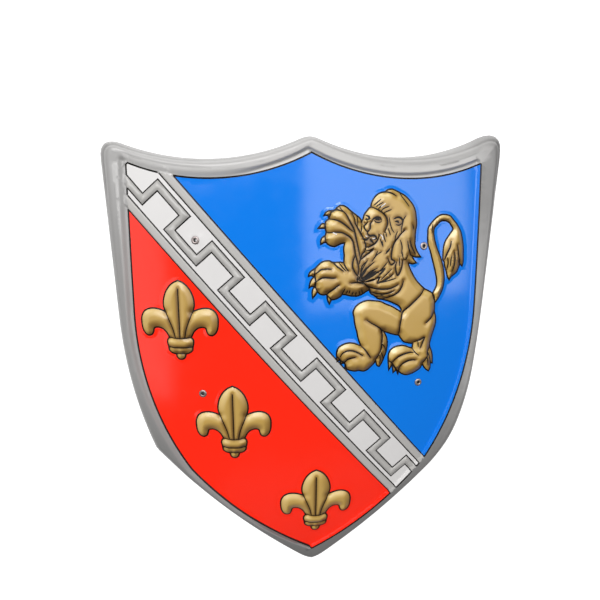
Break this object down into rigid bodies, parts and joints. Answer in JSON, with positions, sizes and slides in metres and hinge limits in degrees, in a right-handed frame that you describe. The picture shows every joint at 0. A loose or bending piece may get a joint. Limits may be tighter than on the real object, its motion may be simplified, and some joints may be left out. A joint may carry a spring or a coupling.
{
  "type": "heater shield",
  "caption": "Costume heater shield: formed plastic shell in relief with lion, fleurs-de-lis and meander bend, and riveted back straps.",
  "frame": {"origin": "centre of the object's box in plan, on the plane of the trimmed skirt edge that it lies on", "axes": "+X to the shield's right as seen from the front, +Y to its top edge, +Z out of its front"},
  "size_m": [0.4185, 0.4886, 0.0505],
  "materials": {
    "printed_shell": "glossy formed plastic sheet, printed silver, blue, red, white and gold",
    "strap_plastic": "satin moulded plastic band",
    "rivet_metal": "nickel-plated hollow rivet"
  },
  "bodies": {
    "root": {"shell": "printed_shell", "arm_strap": "strap_plastic", "grip_strap": "strap_plastic", "rivet_arm_bottom": "rivet_metal", "rivet_arm_top": "rivet_metal", "rivet_grip_bottom": "rivet_metal", "rivet_grip_top": "rivet_metal"}
  },
  "joints": []
}
